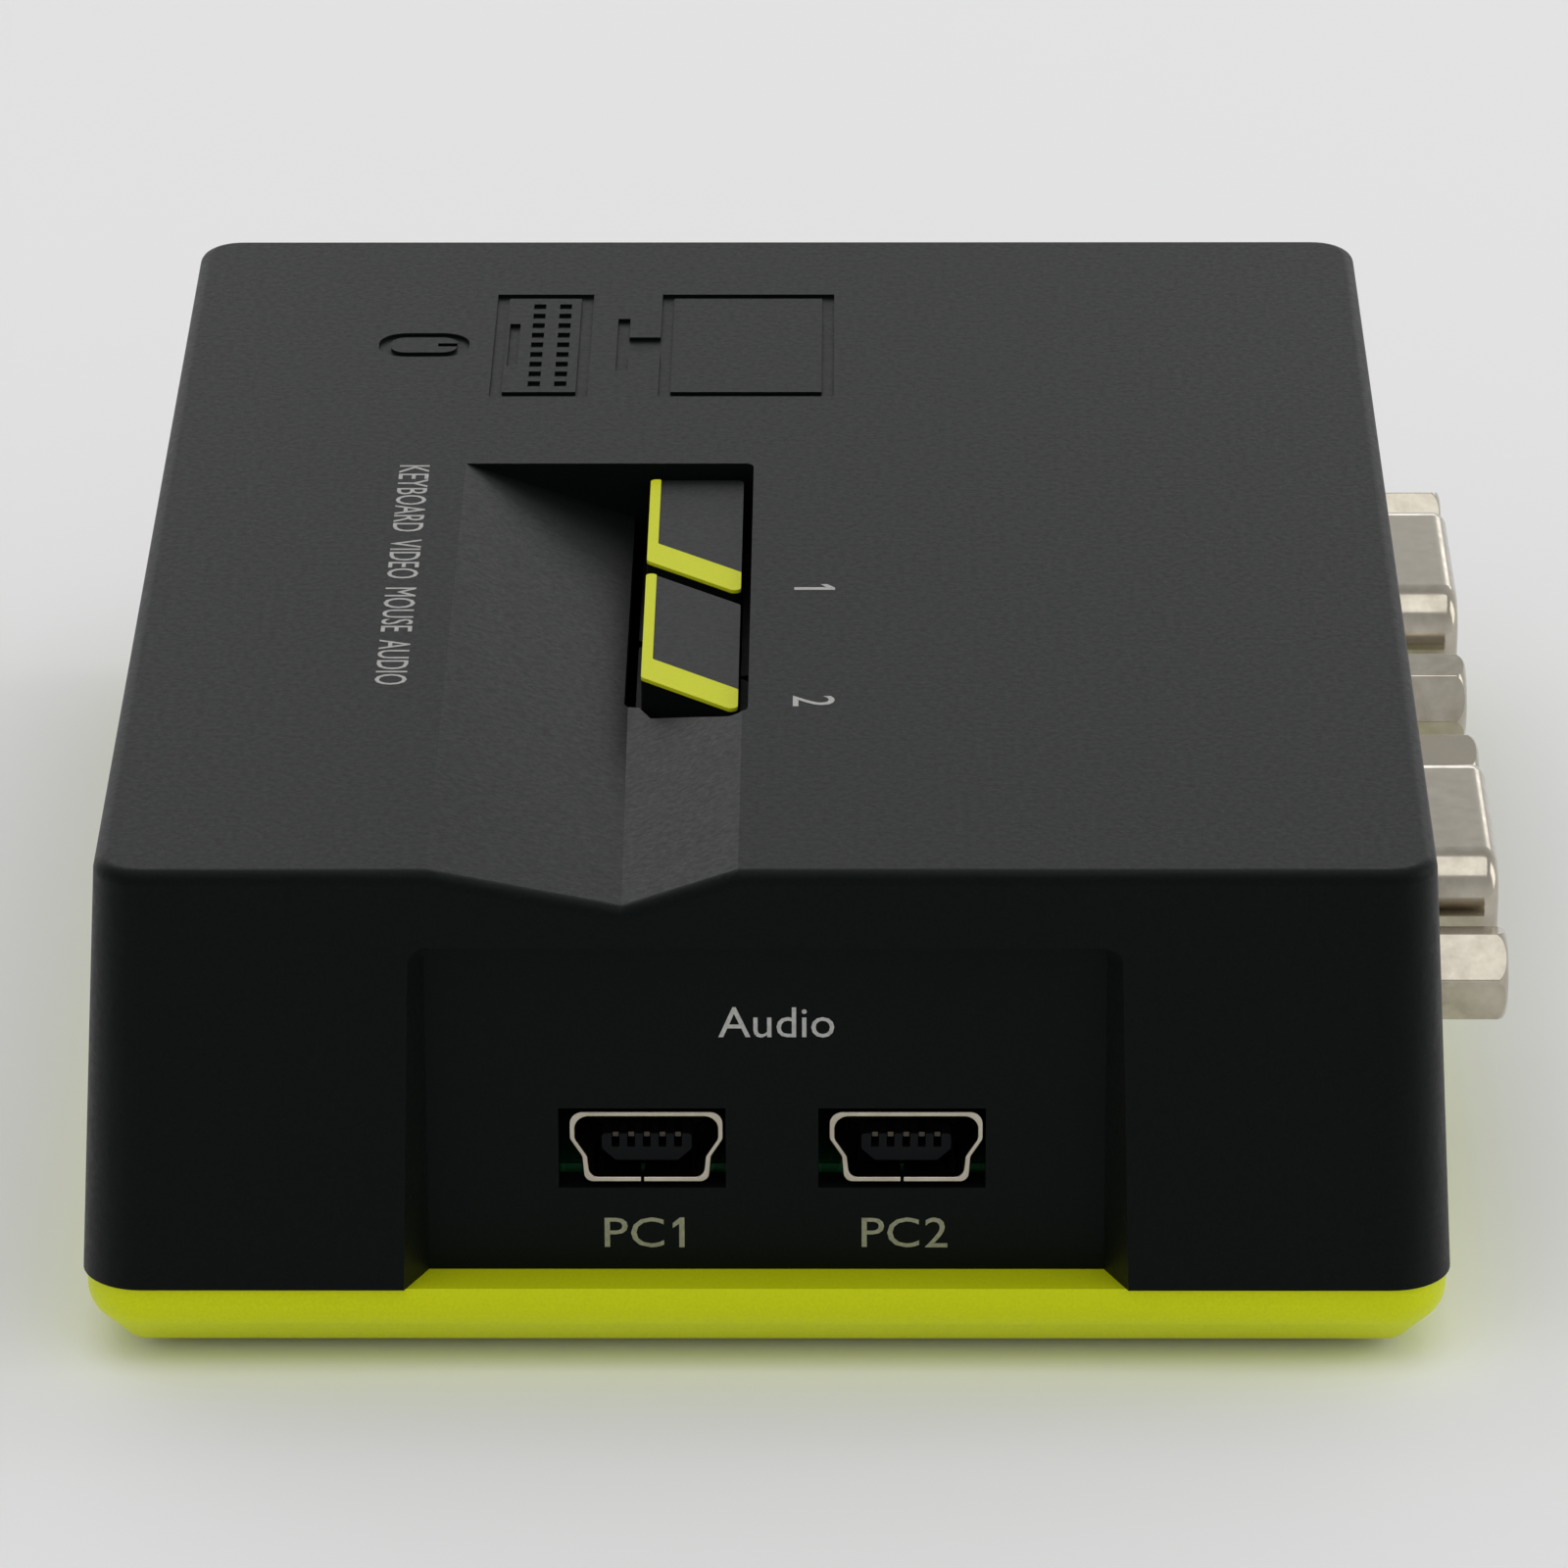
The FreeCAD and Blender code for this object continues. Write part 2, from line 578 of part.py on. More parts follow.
def status_led(key):
    y = led_y(key)
    body_z = LED_SEAT_Z + 0.5
    rim = rod((SWITCH_X, y, LED_SEAT_Z), Z_AXIS, LED_RIM_R, 0.9)
    body = rod((SWITCH_X, y, body_z), Z_AXIS, LED_R, LED_TOP_Z - body_z)
    return fuse([rim, body.makeFillet(0.9, [edge_ring(body, Z_AXIS, LED_TOP_Z)])])


def led_spacer(key):
    return rod((SWITCH_X, led_y(key), BOARD_TOP_Z), Z_AXIS, LED_RIM_R + 0.05,
               LED_SEAT_Z - BOARD_TOP_Z)


# ---------------------------------------------------------------- board

CONTROLLER = {"place": (10.0, -6.0), "half": (5.0, 5.0), "leads": 12, "pitch": 0.8}
BUFFER_PLACES = ((12.0, 8.0), (12.0, 18.0), (12.0, -20.0))
BUFFER = {"half": (4.9, 1.95), "leads": 8, "pitch": 1.27}
CRYSTAL_PLACE = (11.0, -28.0)
CAPACITOR_PLACES = ((-16.0, 24.0), (-16.0, 31.0), (-14.5, 10.0), (-14.0, -22.0))
CAPACITOR_R = 2.5
CAPACITOR_HEIGHT = 9.5
CHIP_COLUMN_X = (4.0, 2.6, 6)       # first, pitch and number of the small parts in a row
CHIP_ROWS_Y = (-33.0, 1.0, 13.0, 27.0)
SIDE_COLUMN = {"x": -16.6, "first_y": -16.0, "pitch": 2.2, "count": 8}
SMALL_PART_HALF = (0.9, 0.45)
SMALL_PART_HEIGHT = 0.6


def circuit_board():
    board = box(about(0, BOARD_HALF_X), about(0, BOARD_HALF_Y),
                (BOARD_TOP_Z - BOARD_THICKNESS, BOARD_TOP_Z))
    holes = [rod((x, y, BOARD_TOP_Z - 3), Z_AXIS, 1.7, 5)
             for x, y in corners_of(SCREW_X, SCREW_Y)]
    tails = [video_contacts(socket) for socket in VIDEO_SOCKETS.values()]
    tails += [jack_contacts(y) for y in JACK_SOCKETS.values()]
    return board.cut(holes).cut(tails)


def gull_leads(place, half_y, count, pitch):
    """Bent leads on the two long sides of a chip that stands on the board."""
    thickness = 0.2
    half_width = 0.16
    knee_z = (BOARD_TOP_Z + 0.7, BOARD_TOP_Z + 0.7 + thickness)
    leads = []
    for side in (-1, 1):
        edge = place[1] + side * half_y
        knee = sorted((edge, edge + side * 0.45))
        post = sorted((edge + side * 0.25, edge + side * 0.45))
        foot = sorted((edge + side * 0.25, edge + side * 1.0))
        for i in range(count):
            width = about(place[0] + (i - (count - 1) / 2) * pitch, half_width)
            leads.append(fuse([box(width, knee, knee_z),
                               box(width, post, (BOARD_TOP_Z, knee_z[1])),
                               box(width, foot, (BOARD_TOP_Z, BOARD_TOP_Z + thickness))]))
    return leads


def chip_body(place, half):
    """Moulded chip with a round mark sunk at its first lead."""
    low = BOARD_TOP_Z + 0.15
    high = low + 1.5
    body = box(about(place[0], half[0]), about(place[1], half[1]), (low, high))
    mark = rod((place[0] - half[0] + 0.9, place[1] - half[1] + 0.9, high - 0.1), Z_AXIS, 0.4, 1)
    return body.cut(mark)


def controller_chip():
    return chip_body(CONTROLLER["place"], CONTROLLER["half"])


def controller_leads():
    return Part.makeCompound(gull_leads(CONTROLLER["place"], CONTROLLER["half"][1],
                                        CONTROLLER["leads"], CONTROLLER["pitch"]))


def buffer_chips():
    return Part.makeCompound([chip_body(place, BUFFER["half"]) for place in BUFFER_PLACES])


def buffer_leads():
    leads = []
    for place in BUFFER_PLACES:
        leads += gull_leads(place, BUFFER["half"][1], BUFFER["leads"], BUFFER["pitch"])
    return Part.makeCompound(leads)


def crystal():
    can = extrude(rectangle(5.4, 2.2, 2.1, on_xy(BOARD_TOP_Z), CRYSTAL_PLACE), Z_AXIS * 3.4)
    rim = extrude(rectangle(5.7, 2.45, 2.3, on_xy(BOARD_TOP_Z), CRYSTAL_PLACE), Z_AXIS * 0.4)
    return fuse([can, rim])


def storage_capacitors():
    cans = []
    top = BOARD_TOP_Z + CAPACITOR_HEIGHT
    for x, y in CAPACITOR_PLACES:
        can = rod((x, y, BOARD_TOP_Z), Z_AXIS, CAPACITOR_R, CAPACITOR_HEIGHT)
        cans.append(can.makeFillet(0.4, [edge_ring(can, Z_AXIS, top)]))
    return Part.makeCompound(cans)


def small_chips():
    """Surface-mount resistors and capacitors in rows by the sockets."""
    first_x, pitch_x, count_x = CHIP_COLUMN_X
    places = [(first_x + pitch_x * i, y) for y in CHIP_ROWS_Y for i in range(count_x)]
    places += [(SIDE_COLUMN["x"], SIDE_COLUMN["first_y"] + SIDE_COLUMN["pitch"] * i)
               for i in range(SIDE_COLUMN["count"])]
    return Part.makeCompound([box(about(x, SMALL_PART_HALF[0]), about(y, SMALL_PART_HALF[1]),
                                  (BOARD_TOP_Z, BOARD_TOP_Z + SMALL_PART_HEIGHT))
                              for x, y in places])


# ---------------------------------------------------------------- video sockets

def video_shell(socket):
    """Flange and D-shaped shell in one pressed piece, its outer end curled in."""
    plate = extrude(rectangle(*VIDEO_FLANGE_HALF, 0.8, on_yz(0), (0, VIDEO_AXIS_Z)),
                    X_AXIS * -VIDEO_FLANGE_T)
    tube = extrude(d_outline(0, VIDEO_CORNER_R, 0), X_AXIS * VIDEO_REACH)
    outer_end = edges_where(tube, lambda p: abs(p.x - VIDEO_REACH) < 1e-4)
    tube = tube.makeFillet(VIDEO_LIP_R, outer_end)
    bore = extrude(d_outline(VIDEO_WALL, VIDEO_CORNER_R - VIDEO_WALL, -2),
                   X_AXIS * (2 + VIDEO_REACH - VIDEO_WALL))
    mouth_inset = VIDEO_WALL + VIDEO_LIP
    mouth = extrude(d_outline(mouth_inset, VIDEO_CORNER_R - mouth_inset, 0), X_AXIS * THROUGH)
    holes = [rod((-2, y, VIDEO_AXIS_Z), X_AXIS, 1.6, 4) for y in about(0, VIDEO_SCREW_PITCH / 2)]
    shell = fuse([plate, tube]).cut([bore, mouth] + holes)
    return set_in_wall(shell, socket["place"], socket["faces"])


def video_contact_places():
    """Centres of the fifteen contacts: three rows of five, the middle row half a pitch over."""
    places = []
    for row, shift in ((1, 0.0), (0, 0.5), (-1, 0.0)):
        for i in range(5):
            y = (i - 2 + shift - 0.25) * VIDEO_PIN_PITCH
            places.append((y, VIDEO_AXIS_Z + row * VIDEO_ROW_PITCH, row))
    return places


def video_insulator(socket):
    """Face of the socket, inside its shell, with a hole for every contact."""
    inset = VIDEO_WALL + 0.05
    front = VIDEO_REACH - VIDEO_WALL - 0.05
    core = extrude(d_outline(inset, VIDEO_CORNER_R - inset, -VIDEO_FLANGE_T),
                   X_AXIS * (front + VIDEO_FLANGE_T))
    holes = [rod((front, y, z), X_AXIS * -1, 0.62, 5.9) for y, z, row in video_contact_places()]
    return set_in_wall(core.cut(holes), socket["place"], socket["faces"])


def video_block(socket):
    """Moulded block behind the flange that stands on the board."""
    block = box((-VIDEO_FLANGE_T - VIDEO_BODY_DEPTH, -VIDEO_FLANGE_T), about(0, 9.6),
                (BOARD_TOP_Z + 0.1, VIDEO_AXIS_Z + 5.2))
    return set_in_wall(block, socket["place"], socket["faces"])


def video_contacts(socket):
    """Contact tubes set back in the insulator, each with a tail that goes down to the board."""
    mouth_x = VIDEO_REACH - 0.9
    contacts = []
    for y, z, row in video_contact_places():
        tube = rod((mouth_x, y, z), X_AXIS * -1, 0.52, 5.2)
        contacts.append(tube.cut(rod((mouth_x, y, z), X_AXIS * -1, 0.33, 4.0)))
        tail_x = -VIDEO_FLANGE_T - VIDEO_BODY_DEPTH - 0.4 - 1.3 * (row + 1)
        contacts.append(box(about(tail_x, 0.2), about(y, 0.25),
                            (BOARD_TOP_Z - BOARD_THICKNESS - TAIL_REACH, BOARD_TOP_Z + 1.2)))
    return set_in_wall(Part.makeCompound(contacts), socket["place"], socket["faces"])


def standoff(y, turn):
    """Hexagon with a rounded outer end, a threaded stud behind it and a threaded hole in front."""
    corner_r = STANDOFF_AF / math.sqrt(3)
    angles = [math.radians(60 * i + turn) for i in range(6)]
    points = [(y + corner_r * math.cos(angle), VIDEO_AXIS_Z + corner_r * math.sin(angle))
              for angle in angles]
    hexagon = extrude(outline(points, [0.15] * 6, on_yz(0)), X_AXIS * STANDOFF_REACH)
    bar = rod((0, y, VIDEO_AXIS_Z), X_AXIS, corner_r + 0.01, STANDOFF_REACH)
    bar = bar.makeFillet(0.8, [edge_ring(bar, X_AXIS, STANDOFF_REACH)])
    bore = rod((STANDOFF_REACH, y, VIDEO_AXIS_Z), X_AXIS * -1, STANDOFF_HOLE_R,
               STANDOFF_HOLE_DEPTH)
    stud = rod((0, y, VIDEO_AXIS_Z), X_AXIS * -1, 1.5, 4.0)
    return hexagon.common(bar).cut(bore).fuse(stud)


def jack_standoffs():
    """Hexagonal threaded standoffs, two beside every video socket."""
    standoffs = []
    for socket in VIDEO_SOCKETS.values():
        for y, turn in zip(about(0, VIDEO_SCREW_PITCH / 2), socket["standoff_turns"]):
            standoffs.append(set_in_wall(standoff(y, turn), socket["place"], socket["faces"]))
    return Part.makeCompound(standoffs)


# ---------------------------------------------------------------- mini sockets

def mini_shell(x):
    outer = extrude(mini_outline(x, MINI_FACE_Y), Y_AXIS * MINI_LENGTH)
    inner = extrude(mini_outline(x, MINI_FACE_Y - 1, -MINI_WALL), Y_AXIS * THROUGH)
    tube = outer.cut(inner)
    tube = tube.makeFillet(MINI_EDGE_R, edges_where(tube, lambda p: abs(p.y - MINI_FACE_Y) < 1e-4))
    seam = box((x - 0.3, x - 0.12), (MINI_FACE_Y - 1, MINI_FACE_Y + THROUGH),
               (MINI_Z - 3, MINI_Z - 1.2))
    return tube.cut(seam)


def mini_contact_xs(x):
    return [x + MINI_PIN_PITCH * (i - 2) for i in range(5)]


def mini_insulator(x):
    """Contact tongue on a block that closes the back of the shell."""
    block_y = MINI_FACE_Y + 6.2
    block = extrude(mini_outline(x, block_y, -MINI_WALL - 0.05),
                    Y_AXIS * (MINI_LENGTH - block_y + MINI_FACE_Y))
    low, high = (MINI_Z + level for level in MINI_TONGUE)
    points = [(x - 1.6, low), (x + 1.6, low), (x + 2.3, low + 0.65), (x + 2.3, high),
              (x - 2.3, high), (x - 2.3, low + 0.65)]
    tongue = extrude(outline(points, [0.2] * 6, on_xz(MINI_FACE_Y + 0.9)), Y_AXIS * 5.8)
    slots = [box(about(u, 0.2), (MINI_FACE_Y, MINI_FACE_Y + 6.0), (high - 0.75, high + 1))
             for u in mini_contact_xs(x)]
    return fuse([block, tongue]).cut(slots)


def mini_contacts(x):
    top = MINI_Z + MINI_TONGUE[1] - 0.05
    return Part.makeCompound([box(about(u, 0.15), (MINI_FACE_Y + 1.2, MINI_FACE_Y + 6.0),
                                  (top - 0.25, top)) for u in mini_contact_xs(x)])


# ---------------------------------------------------------------- type A sockets

def type_a_shell(y):
    """Folded tube with two sprung leaves in its upper wall."""
    half_y, half_z = TYPE_A_HALF
    back = TYPE_A_FRONT - TYPE_A_LENGTH
    outer = extrude(rectangle(half_y, half_z, 0.45, on_yz(back), (0, TYPE_A_Z)),
                    X_AXIS * TYPE_A_LENGTH)
    inner = extrude(rectangle(half_y - TYPE_A_WALL, half_z - TYPE_A_WALL, 0.15, on_yz(back - 1),
                              (0, TYPE_A_Z)), X_AXIS * (TYPE_A_LENGTH + 2))
    roof = (TYPE_A_Z + half_z - TYPE_A_WALL, TYPE_A_Z + half_z)
    slots = []
    leaves = []
    for leaf_y in (-2.9, 2.9):
        slots.append(box((TYPE_A_FRONT - 8.0, TYPE_A_FRONT - 3.0), about(leaf_y, 0.9),
                         (roof[0] - 0.5, roof[1] + 1)))
        leaves.append(box((TYPE_A_FRONT - 8.4, TYPE_A_FRONT - 3.2), about(leaf_y, 0.7), roof))
    return in_user_wall(outer.cut(inner).cut(slots).fuse(leaves).removeSplitter(), y)


def type_a_insulator(y):
    """Tongue in the upper half of the socket on a block at its back."""
    half_y, half_z = TYPE_A_HALF
    gap = TYPE_A_WALL + 0.05
    tip = TYPE_A_FRONT - 1.2
    block = box((TYPE_A_FRONT - TYPE_A_LENGTH, TYPE_A_FRONT - 11.2), about(0, half_y - gap),
                about(TYPE_A_Z, half_z - gap))
    tongue = box((TYPE_A_FRONT - 11.5, tip), about(0, 5.55), (TYPE_A_Z + 0.1, TYPE_A_Z + 1.9))
    tongue = tongue.makeChamfer(0.35, edges_where(tongue, lambda p: abs(p.x - tip) < 1e-4))
    return in_user_wall(fuse([block, tongue]), y)


def type_a_contacts(y):
    low = TYPE_A_Z + 0.1
    strips = [box((TYPE_A_FRONT - 11.0, TYPE_A_FRONT - 2.2), about(strip_y, 0.5), (low - 0.15, low))
              for strip_y in (-3.5, -1.0, 1.0, 3.5)]
    return in_user_wall(Part.makeCompound(strips), y)


# ---------------------------------------------------------------- 3.5 mm jacks

def jack_housing(y):
    body = box((JACK_FRONT - JACK_BORE_DEPTH - 0.8, -0.1), about(0, JACK_BODY_HALF),
               (BOARD_TOP_Z, BOARD_TOP_Z + JACK_BODY_HEIGHT))
    nose = rod((-0.5, 0, JACK_Z), X_AXIS, JACK_NOSE_R, JACK_FRONT + 0.5)
    bore = rod((JACK_FRONT, 0, JACK_Z), X_AXIS * -1, JACK_BORE_R, JACK_BORE_DEPTH)
    return in_user_wall(fuse([body, nose]).cut(bore), y)


def jack_contacts(y):
    """Leaf contacts on the housing's sides, with tails through the board."""
    contacts = []
    for side, depth in ((-1, 5.0), (1, 8.0), (-1, 11.5)):
        leaf = sorted((side * JACK_BODY_HALF, side * (JACK_BODY_HALF + 0.25)))
        contacts.append(box(about(JACK_FRONT - depth, 0.8), leaf,
                            (BOARD_TOP_Z - BOARD_THICKNESS - TAIL_REACH, BOARD_TOP_Z + 4.0)))
    return in_user_wall(Part.makeCompound(contacts), y)


# ---------------------------------------------------------------- all pieces

def all_pieces():
    pieces = {
        "top_shell": top_shell(),
        "base_shell": base_shell(),
        "rubber_feet": rubber_feet(),
        "case_screws": case_screws(),
        "circuit_board": circuit_board(),
        "controller_chip": controller_chip(),
        "controller_leads": controller_leads(),
        "video_buffer_chips": buffer_chips(),
        "video_buffer_leads": buffer_leads(),
        "crystal_can": crystal(),
        "storage_capacitors": storage_capacitors(),
        "surface_mount_parts": small_chips(),
        "jack_standoffs": jack_standoffs(),
    }
    for number, key in KEYS.items():
        y = key_centre_y(key)
        pieces[f"select_key_{number}"] = select_key(key)
        pieces[f"key_light_guide_{number}"] = light_guide(key)
        pieces[f"key_switch_{number}_housing"] = switch_housing(y)
        pieces[f"key_switch_{number}_cover"] = switch_cover(y)
        pieces[f"key_switch_{number}_plunger"] = switch_plunger(y)
        pieces[f"status_led_{number}"] = status_led(key)
        pieces[f"led_spacer_{number}"] = led_spacer(key)
    for name, socket in VIDEO_SOCKETS.items():
        pieces[f"{name}_shell"] = video_shell(socket)
        pieces[f"{name}_insulator"] = video_insulator(socket)
        pieces[f"{name}_block"] = video_block(socket)
        pieces[f"{name}_contacts"] = video_contacts(socket)
    for name, x in MINI_SOCKETS.items():
        pieces[f"{name}_shell"] = mini_shell(x)
        pieces[f"{name}_insulator"] = mini_insulator(x)
        pieces[f"{name}_contacts"] = mini_contacts(x)
    for name, y in TYPE_A_SOCKETS.items():
        pieces[f"{name}_shell"] = type_a_shell(y)
        pieces[f"{name}_insulator"] = type_a_insulator(y)
        pieces[f"{name}_contacts"] = type_a_contacts(y)
    for name, y in JACK_SOCKETS.items():
        pieces[f"{name}_housing"] = jack_housing(y)
        pieces[f"{name}_contacts"] = jack_contacts(y)
    return pieces


os.makedirs("parts", exist_ok=True)
for name, shape in all_pieces().items():
    shape.translate(TO_ORIGIN)
    shape.exportStep(f"parts/{name}.step")
    print(f"{name}: {len(shape.Solids)} solid(s), {shape.Volume:.1f} mm3, valid {shape.isValid()}")
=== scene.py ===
import math

import bpy
from mathutils import Matrix, Vector


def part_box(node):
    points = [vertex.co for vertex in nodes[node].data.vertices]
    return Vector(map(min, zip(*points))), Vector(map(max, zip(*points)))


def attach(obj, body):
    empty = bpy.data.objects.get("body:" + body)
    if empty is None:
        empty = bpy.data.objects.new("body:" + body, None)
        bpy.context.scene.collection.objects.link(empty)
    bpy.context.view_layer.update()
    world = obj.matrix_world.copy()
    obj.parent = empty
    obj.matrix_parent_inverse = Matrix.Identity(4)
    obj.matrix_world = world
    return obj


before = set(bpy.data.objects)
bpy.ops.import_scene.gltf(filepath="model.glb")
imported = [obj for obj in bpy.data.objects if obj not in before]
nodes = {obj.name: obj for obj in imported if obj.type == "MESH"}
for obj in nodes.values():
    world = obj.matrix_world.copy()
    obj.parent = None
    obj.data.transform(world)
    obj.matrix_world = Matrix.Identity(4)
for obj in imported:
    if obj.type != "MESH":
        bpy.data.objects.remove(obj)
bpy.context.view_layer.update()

MM = 0.001

# The middle of the case's plan and the height of its lid; places on the case are given from there
case_low, case_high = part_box("top_shell")
LID_CENTRE = Vector(((case_low.x + case_high.x) / 2, (case_low.y + case_high.y) / 2, case_high.z))

# Camera, as the object stands in its picture: a long lens, looking down onto the near end
CAMERA_PLACE = LID_CENTRE + Vector((4.16, -480.88, 194.88)) * MM
CAMERA_ELEVATION = math.radians(23.593)
CAMERA_YAW = math.radians(-0.418)
CAMERA_ROLL = math.radians(-0.169)
CAMERA_LENS = 217.26

# Printing on the case, in mm: words, left and right end of the line, middle of its height, letter
# height. On the lid a line runs along -Y and its letters' tops point to +X.
LID_PRINT = (
    ("1", -7.7, -8.5, 2.4, 2.2),
    ("2", -23.1, -24.5, 2.4, 2.2),
    ("KEYBOARD  VIDEO  MOUSE  AUDIO", 9.7, -21.6, -19.95, 1.7),
)
PANEL_PRINT = (
    ("Audio", -2.4, 3.5, -8.85, 1.7),
    ("PC", -8.3, -5.25, -20.75, 1.7),
    ("1", -4.8, -4.2, -20.75, 1.7),
    ("PC", 4.9, 7.85, -20.75, 1.7),
    ("2", 8.15, 9.3, -20.75, 1.7),
)
# Outline of a figure one with a flag, because the font draws a plain bar. It is scaled to its line.
FIGURE_ONE = ((0.55, 0.0), (1.0, 0.0), (1.0, 2.2), (0.62, 2.2), (0.0, 1.78), (0.0, 1.42),
              (0.55, 1.74))
PANEL_Y = -44.7
PRINT_THICKNESS = 0.012 * MM
LETTER_CURVE_STEPS = 3
LETTER_DEPTH = 0.5
LID_INK = ((0.34, 0.34, 0.33), (0.48, 0.48, 0.46))
SOCKET_INK = ((0.20, 0.205, 0.13), (0.30, 0.305, 0.20))
INK_ROUGHNESS = 0.6
INK_GRAIN = 0.3 * MM

# Span that most of a noise texture's values fall in
NOISE_LOW, NOISE_HIGH = 0.3, 0.7

# Moulded plastic: MOTTLE_SIZE and PIT_SPACING count grains, PIT_DEPTH is a share of the grain's
# depth, and MOTTLE_ROUGHNESS is added and taken away
PLASTIC_GRAIN = 0.16 * MM
PLASTIC_DEPTH = 0.006 * MM
MOTTLE_SIZE = 2.5
PIT_SPACING = 1.7
PIT_DEPTH = 0.6
MOTTLE_ROUGHNESS = 0.06
FINE_GRAIN = 0.12 * MM
SOCKET_GRAIN = 0.1 * MM
SOCKET_DEPTH = 0.002 * MM

# Dark plastic of the shell and keys. Seen straight on it has almost no sheen, and at a grazing
# angle the usual sheen.
CHARCOAL = ((0.0022, 0.0030, 0.0028), (0.0042, 0.0052, 0.0050))
FACING_SHEEN = (0.10, 0.12, 0.12, 1)
LIME_SHEEN = (0.35, 0.38, 0.2, 1)

# Metal: faint blotches, which are a little rougher or smoother, and scratches drawn out along Y
BLOTCH_SIZE = 1.4 * MM
BLOTCH_ROUGHER = 0.06
BLOTCH_SMOOTHER = 0.04
SCRATCH_WIDTH = 0.09 * MM
SCRATCH_DEPTH = 0.0015 * MM
SCRATCH_STRETCH = 0.15

# Board: solder mask cut up by tracks
TRACK_CELL = 2.2 * MM
TRACK_WIDTH = 0.03
TRACK_COLOURS = (("Color1", (0.012, 0.10, 0.035, 1)), ("Color2", (0.014, 0.12, 0.04, 1)),
                 ("Mortar", (0.02, 0.17, 0.06, 1)))
TRACK_HEIGHT = 0.02 * MM
MASK_BLOTCH = 3 * MM

# Stage: the floor, the soft boxes (name, place in metres, width, height, power in watts) and the
# white tent's brightness at the horizon and from TENT_SPAN of the way up
FLOOR_REACH = 3.0
FLOOR_COLOUR = (0.92, 0.92, 0.92, 1)
SOFT_BOXES = (
    ("overhead_light", (0.0, -0.1, 1.2), 1.2, 1.2, 4.5),
    ("back_left_light", (-0.35, 0.75, 0.30), 0.6, 0.25, 0.35),
    ("back_right_light", (0.25, 0.80, 0.20), 0.4, 0.15, 0.22),
    ("right_light", (1.1, 0.1, 0.5), 0.6, 0.8, 2.2),
)
TENT_HORIZON = 0.72
TENT_OVERHEAD = 0.46
TENT_SPAN = 0.8


# ---------------------------------------------------------------- materials

class Shader:
    """One node material, with short calls for the nodes that the finishes share."""

    def __init__(self, name):
        self.material = bpy.data.materials.new(f"{name}_finish")
        self.material.use_nodes = True
        self.tree = self.material.node_tree
        self.surface = self.tree.nodes["Principled BSDF"]
        self.place = self.tree.nodes.new("ShaderNodeTexCoord").outputs["Object"]

    def node(self, kind, **inputs):
        made = self.tree.nodes.new(kind)
        for key, value in inputs.items():
            made.inputs[key].default_value = value
        return made

    def link(self, source, target):
        self.tree.links.new(source, target)

    def set(self, **values):
        """Plain values on the surface shader, with underscores for spaces in socket names."""
        for key, value in values.items():
            self.surface.inputs[key.replace("_", " ")].default_value = value

    def stretched(self, x=1.0, y=1.0, z=1.0):
        """Object coordinates, scaled along each axis."""
        mapping = self.node("ShaderNodeMapping")
        mapping.inputs["Scale"].default_value = (x, y, z)
        self.link(self.place, mapping.inputs["Vector"])
        return mapping.outputs["Vector"]

    def noise(self, size, detail=2.0, rough=0.5, place=None):
        """Noise whose blotches are about size metres across."""
        made = self.node("ShaderNodeTexNoise", Scale=1.0 / size, Detail=detail, Roughness=rough)
        self.link(place or self.place, made.inputs["Vector"])
        return made.outputs["Fac"]

    def pits(self, size):
        """Distance to the nearest of scattered points, about size metres apart."""
        made = self.node("ShaderNodeTexVoronoi", Scale=1.0 / size)
        self.link(self.place, made.inputs["Vector"])
        return made.outputs["Distance"]

    def span(self, value, low, high):
        """A noise value, spread from its usual span onto low to high."""
        made = self.node("ShaderNodeMapRange")
        for name, number in (("From Min", NOISE_LOW), ("From Max", NOISE_HIGH),
                             ("To Min", low), ("To Max", high)):
            made.inputs[name].default_value = number
        self.link(value, made.inputs["Value"])
        return made.outputs["Result"]

    def blend(self, value, first, second):
        """Colour from first to second as a noise value goes over its usual span."""
        made = self.node("ShaderNodeValToRGB")
        for stop, position, colour in ((made.color_ramp.elements[0], NOISE_LOW, first),
                                       (made.color_ramp.elements[1], NOISE_HIGH, second)):
            stop.position = position
            stop.color = (*colour, 1)
        self.link(value, made.inputs["Fac"])
        return made.outputs["Color"]

    def colour(self, source):
        self.link(source, self.surface.inputs["Base Color"])

    def roughness(self, source):
        self.link(source, self.surface.inputs["Roughness"])

    def relief(self, *layers):
        """Bump from (height, depth in metres) pairs, one on top of the other."""
        normal = None
        for height, depth in layers:
            bump = self.node("ShaderNodeBump", Distance=depth)
            self.link(height, bump.inputs["Height"])
            if normal:
                self.link(normal, bump.inputs["Normal"])
            normal = bump.outputs["Normal"]
        self.link(normal, self.surface.inputs["Normal"])


def moulded_plastic(name, first, second, rough, grain=PLASTIC_GRAIN, depth=PLASTIC_DEPTH):
    """Injection-moulded plastic with a fine spark-eroded grain."""
    shader = Shader(name)
    fine = shader.noise(grain, detail=3.0, rough=0.6)
    mottle = shader.noise(grain * MOTTLE_SIZE, detail=4.0, rough=0.7)
    shader.colour(shader.blend(fine, first, second))
    shader.roughness(shader.span(mottle, rough - MOTTLE_ROUGHNESS, rough + MOTTLE_ROUGHNESS))
    shader.relief((fine, depth), (shader.pits(grain * PIT_SPACING), depth * PIT_DEPTH))
    return shader


def charcoal_shell():
    shader = moulded_plastic("charcoal_shell", *CHARCOAL, 0.48)
    shader.set(Specular_Tint=FACING_SHEEN)
    return shader


